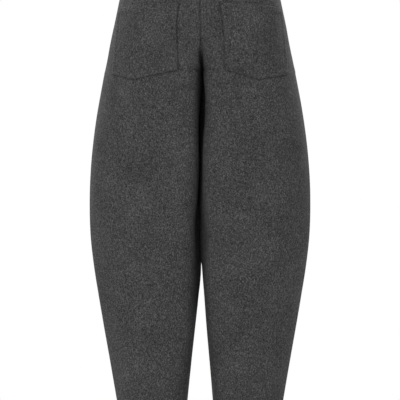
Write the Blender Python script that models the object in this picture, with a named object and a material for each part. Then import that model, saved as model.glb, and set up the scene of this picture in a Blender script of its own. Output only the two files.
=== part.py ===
"""Barrel leg trousers in wool cloth, hollow, in the form that they have when worn.

The front faces -Y and the wearer's left is towards +X. The origin is at the waist's centre,
halfway up the waistband. Sizes are in millimetres, and a drop is a distance below the origin.
The four leg panels are walls through level sections, and the pockets and the fly shield are
made from the panels' own points, moved out or in.
"""

import math

import bmesh
import bpy
import numpy as np
from mathutils import Matrix, Vector

MM = 0.001

# Cloth and seams
WALL = 1.5
HEM_WALL = 3.0
SEAM_GAP = 0.3
LAYER_GAP = 0.4

# Heights, as drops below the origin
BAND_TOP = -20.0
BAND_BOTTOM = 20.0
FORK = 262.0
HEM = 974.0
HEM_DEPTH = 32.0
HEM_STEP = 0.6

# Crotch seam, which runs in an arc from the back over the fork to the front
FORK_Y = -2.0
ARC = {"back": 72.0, "front": 60.0}
VALLEY = {"back": 6.0, "front": 3.0}
FOLD_TOP = {"back": 200.0, "front": 212.0}
FOLD_DEEP = {"back": 238.0, "front": 246.0}

# Section curves
OPENING_POWER = 3.0
SIDE_WIDTH_POWER = 2.15
CURVE_STEPS = 90
TURN_WEIGHT = 26.0
GAP_EASE = 32.0

# One row for each level section of the left leg. The bulge is where each face stands out most,
# the gap is half the space between the legs, contact is how far they lie along each other,
# and middle_x moves the line where they meet off the centre. The roll power sets how tightly
# the cloth turns into the cleft, the opening how far the cleft's walls stand apart, and lips_x
# how far the cleft's mouth at the back lies off the line where the legs meet.
SECTION_COLUMNS = (
    "drop", "side_x", "side_y", "side_power", "back_x", "back_y", "front_x", "front_y",
    "gap", "contact", "middle_x", "roll_power", "opening", "lips_x",
)
SECTIONS = (
    (-20, 134.0, -2, 2.00, 45, 95, 40, -90, 0.8, 0, 0.0, 3.0, 0.0, 0.0),
    (20, 140.5, -2, 2.00, 52, 101, 44, -94, 0.8, 0, 0.0, 3.0, 0.0, 0.0),
    (115, 161.0, -4, 2.00, 68, 118, 60, -105, 0.8, 0, 0.0, 3.0, 0.0, 0.0),
    (195, 177.2, -5, 1.98, 80, 127, 72, -109, 0.8, 24, -1.3, 4.5, 1.0, 0.0),
    (275, 193.5, -6, 1.90, 92, 124, 86, -109, 0.8, 24, -2.6, 6.2, 3.0, -2.2),
    (315, 201.1, -6, 1.85, 97, 119, 93, -108, 0.8, 22, -1.7, 6.8, 5.4, -4.2),
    (355, 207.8, -6, 1.80, 102, 112, 99, -107, 0.8, 20, 1.4, 7.5, 6.0, -5.6),
    (395, 213.2, -6, 1.75, 106, 106, 104, -106, 0.8, 17, 2.6, 7.5, 4.4, -3.6),
    (435, 217.3, -6, 1.70, 108, 100, 107, -104, 0.8, 14, 1.7, 7.0, 3.0, -1.3),
    (515, 220.9, -6, 1.62, 110, 91, 110, -100, 0.8, 9, 1.3, 6.0, 4.0, 0.9),
    (595, 218.3, -6, 1.56, 110, 84, 110, -94, 0.8, 8, 0.4, 5.2, 9.0, 0.5),
    (645, 212.5, -6, 1.53, 108, 80, 108, -90, 1.2, 6, -3.4, 5.0, 8.0, 4.2),
    (711, 202.0, -6, 1.50, 105, 76, 105, -83, 6.0, 0, -3.4, 4.6, 5.4, 3.9),
    (775, 191.0, -5, 1.50, 102, 73, 102, -76, 12.0, 0, -2.4, 3.6, 2.0, 0.8),
    (839, 179.6, -5, 1.50, 99, 69, 99, -71, 18.4, 0, -1.6, 3.0, 1.5, 0.2),
    (903, 168.6, -5, 1.50, 96, 64, 96, -68, 24.3, 0, -0.8, 3.0, 1.0, 0.0),
    (974, 156.5, -4, 1.50, 93, 58, 93, -66, 30.5, 0, 0.0, 3.0, 0.0, 0.0),
)

# The legs' facing walls wave together, so that the slit between them isn't seen through
WAVE_HEIGHT = 2.6
WAVE_LENGTH = 80.0
WAVE_TOP = (252.0, 282.0)
WAVE_BOTTOM = (630.0, 646.0)
WAVE_REACH = 30.0
MIDDLE_REACH = 80.0

# Rows and columns of the panels
PANEL_COLUMNS = 13
HIP_ROWS = 7
ARC_ROWS = 6
LEG_ROWS = 19

# Waistband, with the left end over the right one at the centre front
BAND_WALL = 2.6
BAND_PROUD = 0.5
BAND_COLUMNS = 66
BAND_EDGE = 1.0
BAND_MIDDLE = (7.0, -7.0)
BAND_LAP = 3.0
BAND_UNDERLAP = 36.0
BAND_STEP = (30.0, 7.0)

# Patch pockets: distances across from the centre back, and drops
POCKET_WALL = 1.5
POCKET_GAP = 0.65
POCKET_CELLS = 14
POCKET_COLUMNS = (
    "side", "in_top", "in_bottom", "tip", "out_top", "out_bottom",
    "mouth_in", "mouth_out", "bottom_in", "tip_drop", "bottom_out",
)
POCKETS = (
    ("left", 39.5, 43.5, 125.0, 159.5, 172.0, 132, 137, 263, 281, 268),
    ("right", 37.0, 49.5, 114.0, 159.5, 173.0, 132, 137, 263, 281, 267),
)

# Fly shield, inside the fronts
FLY_RIGHT = -18.0
FLY_LEFT = 24.0
FLY_TOP = 21.0
FLY_BOTTOM = 182.0
FLY_ROWS = 9
FLY_COLUMNS = 5
FLY_CORNER = 40.0
FLY_END = 0.35

# Button
BUTTON_RADIUS = 8.5
BUTTON_THICK = 3.2
BUTTON_DISH = 0.9
BUTTON_RIM = 1.6
BUTTON_HOLE_RADIUS = 0.9
BUTTON_HOLE_PLACE = 1.9
BUTTON_SIDES = 32
BUTTON_PLACE = 15.0
BUTTON_BEVEL = 0.5
BUTTON_HOLE_SIDES = 12

WOOL = (0.050, 0.050, 0.051, 1.0)
WOOL_BAND = (0.047, 0.047, 0.048, 1.0)
WOOL_POCKET = (0.053, 0.053, 0.054, 1.0)
BUTTON_COLOUR = (0.018, 0.018, 0.019, 1.0)
WOOL_ROUGHNESS = 0.92
BUTTON_ROUGHNESS = 0.35
SHARP_ANGLE = 40


def clear_scene():
    """Removes every object, so that the model starts from an empty scene."""
    for thing in list(bpy.data.objects):
        bpy.data.objects.remove(thing, do_unlink=True)


def ease(value):
    """Goes smoothly from 0 to 1 as the value does."""
    value = min(max(value, 0.0), 1.0)
    return value * value * (3.0 - 2.0 * value)


def section(drop):
    """Reads the section table at a drop, as smooth curves through its rows."""
    drops = np.array([row[0] for row in SECTIONS], dtype=float)
    place = int(np.clip(np.searchsorted(drops, drop) - 1, 0, len(drops) - 2))
    span = drops[place + 1] - drops[place]
    t = (drop - drops[place]) / span
    found = {}
    for column, name in enumerate(SECTION_COLUMNS):
        values = np.array([row[column] for row in SECTIONS], dtype=float)
        slopes = np.gradient(values, drops) * span
        start, end = values[place], values[place + 1]
        found[name] = (
            (2 * t**3 - 3 * t**2 + 1) * start
            + (t**3 - 2 * t**2 + t) * slopes[place]
            + (3 * t**2 - 2 * t**3) * end
            + (t**3 - t**2) * slopes[place + 1]
        )
    return found


def seam_height(drop, face):
    """Is 1 above the crotch arc of a face, and falls along the arc to 0 at the fork."""
    above = min(max((FORK - drop) / ARC[face], 0.0), 1.0)
    return math.sqrt(1.0 - (1.0 - above) ** 2)


def half_curve(drop, face):
    """Gives the left half of a face's section, from the centre seam or inseam to the side seam."""
    row = section(drop)
    way = 1.0 if face == "back" else -1.0
    fold_top, fold_deep = FOLD_TOP[face], FOLD_DEEP[face]
    bulge = np.array([row[face + "_x"], row[face + "_y"]])
    side = np.array([row["side_x"], row["side_y"]])

    valley = VALLEY[face] * ease((drop - BAND_BOTTOM) / (fold_top - BAND_BOTTOM))
    hip_seam_y = bulge[1] - way * valley
    seam_y = FORK_Y + (hip_seam_y - FORK_Y) * seam_height(drop, face)
    half_seam = SEAM_GAP / 2
    seam_x = half_seam + (row["gap"] - half_seam) * ease((drop - FORK) / GAP_EASE)
    run = max(row["contact"] - abs(seam_y - FORK_Y), 0.0)
    start = np.array([seam_x, seam_y + way * run])

    quarter = np.linspace(0.0, math.pi / 2, CURVE_STEPS)
    cleft_y = np.sin(quarter) ** (2.0 / row["roll_power"])
    turned_x = 1.0 - np.cos(quarter) ** (2.0 / row["roll_power"])
    apart_x = row["opening"] / bulge[0] * (1.0 - (1.0 - cleft_y) ** OPENING_POWER)
    cleft_x = apart_x + (1.0 - row["opening"] / bulge[0]) * turned_x
    flat_x = quarter / (math.pi / 2)
    flat_y = np.sin(quarter) ** 2
    fold = ease((drop - fold_top) / (fold_deep - fold_top))
    roll_x = (1.0 - fold) * flat_x + fold * cleft_x
    roll_y = (1.0 - fold) * flat_y + fold * cleft_y
    roll = start + np.column_stack([roll_x, roll_y]) * (bulge - start)

    out_x = np.sin(quarter) ** (2.0 / SIDE_WIDTH_POWER)
    out_y = np.cos(quarter) ** (2.0 / row["side_power"])
    outer = np.column_stack([
        bulge[0] + (side[0] - bulge[0]) * out_x,
        side[1] + (bulge[1] - side[1]) * out_y,
    ])
    run_points = np.array([[seam_x, seam_y]]) if run > SEAM_GAP else np.empty((0, 2))
    return np.vstack([run_points, roll[:-1], outer])


def outward(curve, face):
    """Gives the unit directions out of the body along a half curve."""
    way = 1.0 if face == "back" else -1.0
    along = np.gradient(curve, axis=0)
    along /= np.linalg.norm(along, axis=1)[:, None]
    return way * np.column_stack([-along[:, 1], along[:, 0]])


def lengths(curve):
    """Gives the distance along a curve at each of its points."""
    steps = np.linalg.norm(np.diff(curve, axis=0), axis=1)
    return np.concatenate([[0.0], np.cumsum(steps)])


def read_at(places, wanted, values):
    """Reads the columns of an array at the wanted places along it."""
    return np.column_stack([np.interp(wanted, places, column) for column in values.T])


def even_places(curve, count):
    """Spreads points along a curve, closer together where it turns, and clear of both seams."""
    distance = lengths(curve)
    steps = np.diff(curve, axis=0)
    angle = np.unwrap(np.arctan2(steps[:, 1], steps[:, 0]))
    turned = np.cumsum(np.abs(np.diff(angle)))
    turned = np.concatenate([[0.0], turned, turned[-1:]])
    weight = distance + TURN_WEIGHT * turned
    first = np.interp(SEAM_GAP / 2, distance, weight)
    last = np.interp(distance[-1] - SEAM_GAP / 2, distance, weight)
    return np.interp(np.linspace(first, last, count), weight, distance)


def warp(points, drop):
    """Moves the line where the legs meet off the centre, and waves it, the same for both legs."""
    row = section(drop)
    wave = WAVE_HEIGHT * ease((drop - WAVE_TOP[0]) / (WAVE_TOP[1] - WAVE_TOP[0]))
    wave *= 1.0 - ease((drop - WAVE_BOTTOM[0]) / (WAVE_BOTTOM[1] - WAVE_BOTTOM[0]))
    near_middle = np.clip(1.0 - np.abs(points[:, 0]) / MIDDLE_REACH, 0.0, 1.0) ** 2
    near_wave = np.clip(1.0 - np.abs(points[:, 0]) / WAVE_REACH, 0.0, 1.0) ** 2
    depth = np.clip((points[:, 1] - FORK_Y) / (row["back_y"] - FORK_Y), 0.0, 1.0)
    lips = row["lips_x"] * (1.0 - (1.0 - depth) ** OPENING_POWER)
    moved = points.copy()
    moved[:, 0] += (row["middle_x"] + lips) * near_middle
    moved[:, 0] += wave * np.sin(2 * math.pi * (points[:, 1] - FORK_Y) / WAVE_LENGTH) * near_wave
    return moved


def lift(points, drop):
    """Turns flat points at a drop into points in space, in metres."""
    return np.column_stack([points, np.full(len(points), -drop)]) * MM


def face_rows(drop, face, side, places, outs):
    """Gives points along a face at some distances from its centre seam, moved out by each of outs."""
    curve = half_curve(drop, face)
    distance = lengths(curve)
    points = read_at(distance, places, curve)
    normals = read_at(distance, places, outward(curve, face))
    normals /= np.linalg.norm(normals, axis=1)[:, None]
    mirror = np.array([side, 1.0])
    return [lift(warp((points + normals * out) * mirror, drop), drop) for out in outs]


def panel_rows(drop, face, side, wall):
    """Gives a panel's outer and inner points at a drop, mitred at the side seam and inseam."""
    curve = half_curve(drop, face)
    places = even_places(curve, PANEL_COLUMNS)
    distance = lengths(curve)
    points = read_at(distance, places, curve)
    inward = -read_at(distance, places, outward(curve, face))
    inward /= np.linalg.norm(inward, axis=1)[:, None]
    inner = points + inward * wall
    inner[-1] = points[-1] + np.array([wall / inward[-1, 0], 0.0])
    if drop >= FORK:
        inner[0] = points[0] + np.array([wall / inward[0, 0], 0.0])
    mirror = np.array([side, 1.0])
    return [lift(warp(row * mirror, drop), drop) for row in (points, inner)]


def panel_drops():
    """Lists the drops of a panel's rows with the wall there, from the waist seam to the hem."""
    hip_end = FORK - ARC["back"]
    hips = np.linspace(BAND_BOTTOM + SEAM_GAP / 2, hip_end, HIP_ROWS)
    angles = np.linspace(math.pi / 2, 0.0, ARC_ROWS + 1)[1:]
    arc = FORK - ARC["back"] * (1.0 - np.cos(angles))
    hem_top = HEM - HEM_DEPTH
    legs = np.linspace(FORK, hem_top, LEG_ROWS + 1)[1:]
    rows = [(drop, WALL) for drop in [*hips, *arc, *legs]]
    return rows + [(hem_top + HEM_STEP, HEM_WALL), (HEM, HEM_WALL)]


def material(name, colour, roughness):
    """Makes a plain Principled material."""
    made = bpy.data.materials.new(name)
    made.use_nodes = True
    shader = made.node_tree.nodes["Principled BSDF"]
    shader.inputs["Base Color"].default_value = colour
    shader.inputs["Roughness"].default_value = roughness
    shader.inputs["Metallic"].default_value = 0.0
    made.diffuse_color = colour
    return made


def add_object(name, mesh, finish):
    """Puts a mesh into the scene as a smooth-shaded object."""
    mesh.materials.append(finish)
    mesh.shade_smooth()
    mesh.set_sharp_from_angle(angle=math.radians(SHARP_ANGLE))
    made = bpy.data.objects.new(name, mesh)
    bpy.context.collection.objects.link(made)
    return made


def wall_solid(name, outer, inner, finish):
    """Makes a closed wall between two grids of points, given row by row."""
    rows, columns = len(outer), len(outer[0])
    shell = bmesh.new()
    layers = []
    for grid in (outer, inner):
        layers.append([[shell.verts.new(Vector(point)) for point in row] for row in grid])
    front, back = layers
    for i in range(rows - 1):
        for j in range(columns - 1):
            shell.faces.new((front[i][j], front[i + 1][j], front[i + 1][j + 1], front[i][j + 1]))
            shell.faces.new((back[i][j], back[i][j + 1], back[i + 1][j + 1], back[i + 1][j]))
    for i in range(rows - 1):
        shell.faces.new((front[i][0], back[i][0], back[i + 1][0], front[i + 1][0]))
        shell.faces.new((front[i][-1], front[i + 1][-1], back[i + 1][-1], back[i][-1]))
    for j in range(columns - 1):
        shell.faces.new((front[0][j], front[0][j + 1], back[0][j + 1], back[0][j]))
        shell.faces.new((front[-1][j], back[-1][j], back[-1][j + 1], front[-1][j + 1]))
    bmesh.ops.recalc_face_normals(shell, faces=shell.faces)
    mesh = bpy.data.meshes.new(name)
    shell.to_mesh(mesh)
    shell.free()
    return add_object(name, mesh, finish)


def make_panels():
    """Makes the four leg panels."""
    for face in ("front", "back"):
        for side_name, side in (("left", 1.0), ("right", -1.0)):
            name = face + "_" + side_name
            outer, inner = [], []
            for drop, wall in panel_drops():
                outer_row, inner_row = panel_rows(drop, face, side, wall)
                outer.append(outer_row)
                inner.append(inner_row)
            wall_solid(name, outer, inner, material("wool_" + name, WOOL, WOOL_ROUGHNESS))


def place_of_x(drop, x):
    """Gives how far along the back's section, from its centre seam, the cloth reaches an x."""
    curve = half_curve(drop, "back")
    return float(np.interp(x, curve[:, 0], lengths(curve)))


def make_pocket(row):
    """Makes a patch pocket from points of the back panel that it lies on, moved out."""
    side = 1.0 if row["side"] == "left" else -1.0
    edges = [place_of_x(row["tip_drop"], row[name]) for name in ("in_bottom", "tip", "out_bottom")]
    tip = (edges[1] - edges[0]) / (edges[2] - edges[0])
    bottom_drops = (row["bottom_in"], row["tip_drop"], row["bottom_out"])
    outs = (POCKET_GAP + POCKET_WALL, POCKET_GAP)
    outer, inner = [], []
    for down in np.linspace(0.0, 1.0, POCKET_CELLS + 1):
        in_x = row["in_top"] + (row["in_bottom"] - row["in_top"]) * down
        out_x = row["out_top"] + (row["out_bottom"] - row["out_top"]) * down
        outer_row, inner_row = [], []
        for across in np.linspace(0.0, 1.0, POCKET_CELLS + 1):
            mouth = row["mouth_in"] + (row["mouth_out"] - row["mouth_in"]) * across
            bottom = float(np.interp(across, (0.0, tip, 1.0), bottom_drops))
            drop = mouth + (bottom - mouth) * down
            first, last = place_of_x(drop, in_x), place_of_x(drop, out_x)
            place = np.array([first + (last - first) * across])
            far, near = face_rows(drop, "back", side, place, outs)
            outer_row.append(far[0])
            inner_row.append(near[0])
        outer.append(outer_row)
        inner.append(inner_row)
    name = "back_pocket_" + row["side"]
    wall_solid(name, outer, inner, material("wool_" + name, WOOL_POCKET, WOOL_ROUGHNESS))


def make_fly_shield():
    """Makes the strip behind the fly from the fronts' own points, moved in."""
    outs = (-WALL - LAYER_GAP, -2 * WALL - LAYER_GAP)
    outer, inner = [], []
    for drop in np.linspace(FLY_TOP, FLY_BOTTOM, FLY_ROWS):
        left_edge = FLY_LEFT
        above_bottom = FLY_BOTTOM - drop
        if above_bottom < FLY_CORNER:
            bend = math.sqrt(1.0 - (1.0 - above_bottom / FLY_CORNER) ** 2)
            left_edge = FLY_LEFT * (FLY_END + (1.0 - FLY_END) * bend)
        outer_row, inner_row = [], []
        for place in np.linspace(FLY_RIGHT, left_edge, FLY_COLUMNS):
            side = 1.0 if place >= 0 else -1.0
            far, near = face_rows(drop, "front", side, np.array([abs(place)]), outs)
            outer_row.append(far[0])
            inner_row.append(near[0])
        outer.append(outer_row)
        inner.append(inner_row)
    wall_solid("fly_shield", outer, inner, material("wool_fly_shield", WOOL, WOOL_ROUGHNESS))


def ring_curve(drop):
    """Gives the whole section, from the centre front round the wearer's left and back again."""
    front, back = half_curve(drop, "front"), half_curve(drop, "back")
    mirror = np.array([-1.0, 1.0])
    whole = np.vstack([front[:-1], back[::-1], (back * mirror)[1:-1], (front * mirror)[::-1]])
    along = np.gradient(whole, axis=0)
    along /= np.linalg.norm(along, axis=1)[:, None]
    return whole, np.column_stack([along[:, 1], -along[:, 0]])


def ring_points(drop, places, outs):
    """Reads the whole section at distances from the centre front, each moved out by its own size."""
    whole, normals = ring_curve(drop)
    distance = lengths(whole)
    around = np.mod(places, distance[-1])
    points = read_at(distance, around, whole)
    directions = read_at(distance, around, normals)
    directions /= np.linalg.norm(directions, axis=1)[:, None]
    return lift(points + directions * outs[:, None], drop)


def make_waistband():
    """Makes the band as one strip that runs once round and on under its own first end."""
    drops = (BAND_BOTTOM - SEAM_GAP / 2, *BAND_MIDDLE, BAND_TOP + BAND_EDGE, BAND_TOP)
    outer, inner = [], []
    for drop in drops:
        whole, _ = ring_curve(drop)
        round_length = lengths(whole)[-1]
        places = np.linspace(-BAND_LAP, round_length + BAND_UNDERLAP, BAND_COLUMNS)
        start, end = round_length - BAND_STEP[0], round_length - BAND_STEP[1]
        tuck = np.array([ease((place - start) / (end - start)) for place in places])
        tuck *= BAND_WALL + LAYER_GAP
        edge = BAND_WALL / 4 if drop == BAND_TOP else 0.0
        outer.append(ring_points(drop, places, BAND_PROUD - edge - tuck))
        inner.append(ring_points(drop, places, BAND_PROUD - BAND_WALL + edge - tuck))
    wall_solid("waistband", outer, inner, material("wool_waistband", WOOL_BAND, WOOL_ROUGHNESS))


def turned_disc(name, profile, finish):
    """Turns a profile of radius and height pairs round the Z axis into a closed solid."""
    solid = bmesh.new()
    rings = []
    for radius, height in profile:
        ring = []
        for step in range(BUTTON_SIDES):
            angle = 2 * math.pi * step / BUTTON_SIDES
            ring.append(solid.verts.new((radius * math.cos(angle), radius * math.sin(angle), height)))
        rings.append(ring)
    for lower, upper in zip(rings, rings[1:]):
        for step in range(BUTTON_SIDES):
            after = (step + 1) % BUTTON_SIDES
            solid.faces.new((lower[step], lower[after], upper[after], upper[step]))
    solid.faces.new(reversed(rings[0]))
    solid.faces.new(rings[-1])
    bmesh.ops.recalc_face_normals(solid, faces=solid.faces)
    mesh = bpy.data.meshes.new(name)
    solid.to_mesh(mesh)
    solid.free()
    return add_object(name, mesh, finish)


def make_button():
    """Makes the four-hole button, flat against the band near its upper end."""
    radius, thick = BUTTON_RADIUS * MM, BUTTON_THICK * MM
    inner, dish = radius - BUTTON_RIM * MM, BUTTON_DISH * MM
    bevel = BUTTON_BEVEL * MM
    profile = (
        (radius - 2 * bevel, 0.0),
        (radius, bevel),
        (radius, thick - bevel),
        (radius - bevel, thick),
        (inner + bevel, thick),
        (inner - bevel, thick - dish),
    )
    horn = material("horn_button", BUTTON_COLOUR, BUTTON_ROUGHNESS)
    button = turned_disc("waist_button", profile, horn)

    hole = bpy.data.meshes.new("hole")
    cutter = bmesh.new()
    place = BUTTON_HOLE_PLACE * MM
    for x, y in ((place, place), (-place, place), (-place, -place), (place, -place)):
        bmesh.ops.create_cone(
            cutter, cap_ends=True, segments=BUTTON_HOLE_SIDES, radius1=BUTTON_HOLE_RADIUS * MM,
            radius2=BUTTON_HOLE_RADIUS * MM, depth=4 * thick, matrix=Matrix.Translation((x, y, 0)),
        )
    cutter.to_mesh(hole)
    cutter.free()
    holes = bpy.data.objects.new("button_holes", hole)
    bpy.context.collection.objects.link(holes)
    holes.hide_render = True
    holes.display_type = "WIRE"
    cut = button.modifiers.new("Holes", "BOOLEAN")
    cut.operation = "DIFFERENCE"
    cut.object = holes
    cut.solver = "EXACT"

    out = np.array([BAND_PROUD + SEAM_GAP])
    seat = Vector(ring_points(0.0, np.array([BUTTON_PLACE]), out)[0])
    ahead = Vector(ring_points(0.0, np.array([BUTTON_PLACE + 2]), out)[0])
    above = Vector(ring_points(-2.0, np.array([BUTTON_PLACE]), out)[0])
    x_axis = (ahead - seat).normalized()
    z_axis = x_axis.cross(above - seat).normalized()
    y_axis = z_axis.cross(x_axis)
    turn = Matrix((x_axis, y_axis, z_axis)).transposed().to_4x4()
    for thing in (button, holes):
        thing.matrix_world = Matrix.Translation(seat) @ turn


def build():
    """Builds the whole garment."""
    clear_scene()
    make_waistband()
    make_panels()
    for row in POCKETS:
        make_pocket(dict(zip(POCKET_COLUMNS, row)))
    make_fly_shield()
    make_button()


build()
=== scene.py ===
"""Looks of the barrel leg trousers: charcoal wool mix, sewn, pressed and filled out as worn."""
import functools
import math

import bmesh
import bpy
import numpy as np
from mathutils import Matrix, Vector


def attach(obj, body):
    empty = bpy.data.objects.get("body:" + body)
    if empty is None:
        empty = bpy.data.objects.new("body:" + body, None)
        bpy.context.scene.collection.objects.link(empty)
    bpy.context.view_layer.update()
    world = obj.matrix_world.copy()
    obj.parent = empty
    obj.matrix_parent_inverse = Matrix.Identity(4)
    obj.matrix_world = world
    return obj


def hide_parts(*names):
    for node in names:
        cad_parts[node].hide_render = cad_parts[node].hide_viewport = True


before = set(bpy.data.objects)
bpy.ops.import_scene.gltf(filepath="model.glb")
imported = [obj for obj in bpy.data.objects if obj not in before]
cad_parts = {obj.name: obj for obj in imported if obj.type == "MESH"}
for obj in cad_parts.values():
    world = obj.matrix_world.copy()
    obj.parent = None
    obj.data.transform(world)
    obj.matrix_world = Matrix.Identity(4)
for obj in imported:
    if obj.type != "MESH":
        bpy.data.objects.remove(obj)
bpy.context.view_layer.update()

MM = 0.001

# The garment's form, in millimetres, with drops measured down from the origin at the waist
WALL = 1.5
BAND_TOP = -20.0
BAND_BOTTOM = 20.0
FORK = 262.0
HEM = 974.0
HEM_DEPTH = 32.0
FORK_Y = -2.0
ARC = {"back": 72.0, "front": 60.0}
VALLEY = {"back": 6.0, "front": 3.0}
FOLD_TOP = {"back": 200.0, "front": 212.0}
FOLD_DEEP = {"back": 238.0, "front": 246.0}
OPENING_POWER = 3.0
SIDE_WIDTH_POWER = 2.15
CURVE_STEPS = 160
HALF_SEAM = 0.15
SEAM_X_EASE = 32.0

# One row for each level section of the left leg
SECTION_COLUMNS = (
    "drop", "side_x", "side_y", "side_power", "back_x", "back_y", "front_x", "front_y",
    "gap", "contact", "middle_x", "roll_power", "opening", "lips_x",
)
SECTIONS = (
    (-20, 134.0, -2, 2.00, 45, 95, 40, -90, 0.8, 0, 0.0, 3.0, 0.0, 0.0),
    (20, 140.5, -2, 2.00, 52, 101, 44, -94, 0.8, 0, 0.0, 3.0, 0.0, 0.0),
    (115, 161.0, -4, 2.00, 68, 118, 60, -105, 0.8, 0, 0.0, 3.0, 0.0, 0.0),
    (195, 177.2, -5, 1.98, 80, 127, 72, -109, 0.8, 24, -1.3, 4.5, 1.0, 0.0),
    (275, 193.5, -6, 1.90, 92, 124, 86, -109, 0.8, 24, -2.6, 6.2, 3.0, -2.2),
    (315, 201.1, -6, 1.85, 97, 119, 93, -108, 0.8, 22, -1.7, 6.8, 5.4, -4.2),
    (355, 207.8, -6, 1.80, 102, 112, 99, -107, 0.8, 20, 1.4, 7.5, 6.0, -5.6),
    (395, 213.2, -6, 1.75, 106, 106, 104, -106, 0.8, 17, 2.6, 7.5, 4.4, -3.6),
    (435, 217.3, -6, 1.70, 108, 100, 107, -104, 0.8, 14, 1.7, 7.0, 3.0, -1.3),
    (515, 220.9, -6, 1.62, 110, 91, 110, -100, 0.8, 9, 1.3, 6.0, 4.0, 0.9),
    (595, 218.3, -6, 1.56, 110, 84, 110, -94, 0.8, 8, 0.4, 5.2, 9.0, 0.5),
    (645, 212.5, -6, 1.53, 108, 80, 108, -90, 1.2, 6, -3.4, 5.0, 8.0, 4.2),
    (711, 202.0, -6, 1.50, 105, 76, 105, -83, 6.0, 0, -3.4, 4.6, 5.4, 3.9),
    (775, 191.0, -5, 1.50, 102, 73, 102, -76, 12.0, 0, -2.4, 3.6, 2.0, 0.8),
    (839, 179.6, -5, 1.50, 99, 69, 99, -71, 18.4, 0, -1.6, 3.0, 1.5, 0.2),
    (903, 168.6, -5, 1.50, 96, 64, 96, -68, 24.3, 0, -0.8, 3.0, 1.0, 0.0),
    (974, 156.5, -4, 1.50, 93, 58, 93, -66, 30.5, 0, 0.0, 3.0, 0.0, 0.0),
)

# Wave of the slit between the legs, so that no light comes through it, and how far it reaches
WAVE_HEIGHT = 2.6
WAVE_LENGTH = 80.0
WAVE_TOP = (252.0, 282.0)
WAVE_BOTTOM = (630.0, 646.0)
WAVE_REACH = 30.0

# How far out the legs follow where the slit lies off the centre
MIDDLE_REACH = 80.0

# Fine mesh: rows down the legs, and columns that crowd towards the seams
ROW_STEP = 5.0
POCKET_ROW_STEP = 1.8
POCKET_ROWS = (124.0, 292.0)
COLUMN_STEP = {"back": 2.25, "front": 4.0}
SEAM_STEPS = (0.15, 0.5, 1.0, 1.6, 2.4, 3.4, 4.8, 6.6, 9.0)
SHARP_DEGREES = 60

# Rows at the panels' ends: tucked behind the band, beside the hem's upper edge, and round its fold
BAND_TUCK = 1.0
ABOVE_HEM_STEP = 0.5
HEM_STEP_ROWS = (0.3, 3.0)
HEM_MIDDLE = (8.0, 2.2)
HEM_MIDDLE_ROWS = 5
HEM_ROUND = ((0.8, 0.25), (0.2, 0.8), (0.0, 1.45))

# Seams, with two puckers as wavelength and share, and the deeper crease just above the fork
SEAM_DEPTH = 1.8
SEAM_WIDTH = 1.8
SEAM_PUCKER = (2.9, 0.22)
SEAM_SLOW_PUCKER = (7.3, 0.15)
INSEAM_SHARE = 0.25
CREASE_SHARE = 0.8
CREASE_ROWS = (165.0, 222.0)

# Seam turnings, pressed open inside, with columns as shares of their width
TURNING = 12.0
TURNING_STEPS = (0.05, 0.25, 0.6, 1.0)
TURNING_WALL = 1.1
TURNING_GAP = 0.15
TURNING_ENDS = 1.0
TURNING_ABOVE_FORK = 4.0
TURNING_BELOW_FORK = 2.0
HIP_TURNING_ROWS = 60
LEG_TURNING_ROWS = 130
SIDE_TURNING_ROWS = 180

# How the turnings show outside
TURNING_WIDTH = 13.0
TURNING_SOFTNESS = 3.0
TURNING_RISE = 0.25

# Marks of the hem's sewing and of the band's seam
HEM_MARK = 0.3
HEM_MARK_WIDTH = 1.6
BAND_DITCH = 0.7
BAND_DITCH_WIDTH = 2.2

# Soft folds, each a ridge or, where its height is negative, a trough
FOLD_REACH = 0.42
FOLD_COLUMNS = ("face", "side", "x_1", "drop_1", "x_2", "drop_2", "width", "height")
FOLDS = (
    ("back", "left", 38, 214, 16, 250, 6, 1.3),
    ("back", "left", 2, 186, 2, 262, 22, -2.6),
    ("back", "right", 2, 186, 2, 262, 8, -2.6),
    ("back", "left", 12, 505, 14, 600, 16, -2.2),
    ("back", "left", 131, 205, 129, 262, 10, 0.8),
    ("back", "right", 111, 158, 124, 245, 9, 0.9),
    ("back", "right", 40, 236, 16, 268, 8, 0.7),
    ("back", "left", 60, 300, 30, 420, 16, 0.8),
    ("back", "right", 150, 330, 176, 470, 20, -0.9),
    ("front", "left", 10, 232, 52, 196, 7, -1.1),
    ("front", "left", 14, 254, 96, 236, 9, -1.2),
    ("front", "left", 24, 276, 88, 292, 11, -0.9),
    ("front", "right", 9, 226, 46, 184, 7, -0.9),
    ("front", "right", 15, 250, 84, 226, 8, -1.3),
    ("front", "right", 22, 280, 104, 288, 12, -0.8),
)

# Slow unevenness of the cloth: wavelengths along and down, phase and height
SWELL_MARGIN = 20.0
RIGHT_SHIFT = 1.7
SWELLS = (
    (170.0, 260.0, 0.4, 0.55),
    (95.0, 180.0, 2.1, 0.35),
    (61.0, 340.0, 4.4, 0.22),
    (130.0, 75.0, 5.2, 0.16),
)

# Waistband, with two slow swells as wavelengths along and down and height
BAND_WALL = 2.6
BAND_PROUD = 0.5
BAND_COLUMNS = 300
BAND_LAP = 3.0
BAND_UNDERLAP = 36.0
BAND_STEP = (30.0, 7.0)
BAND_EDGE = 1.3
BAND_THINNING = 0.9
BAND_SWELLS = ((17.0, 9.0, 0.22), (41.0, -13.0, 0.15))
BAND_ROUND = 0.25
BAND_ROWS = (19.9, 19.5, 18.7, 17.0, 13.0, 8.0, 3.0, -2.0, -7.0, -12.0, -16.0, -18.4, -19.5, -20.0)
LAYER_GAP = 0.4

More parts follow.
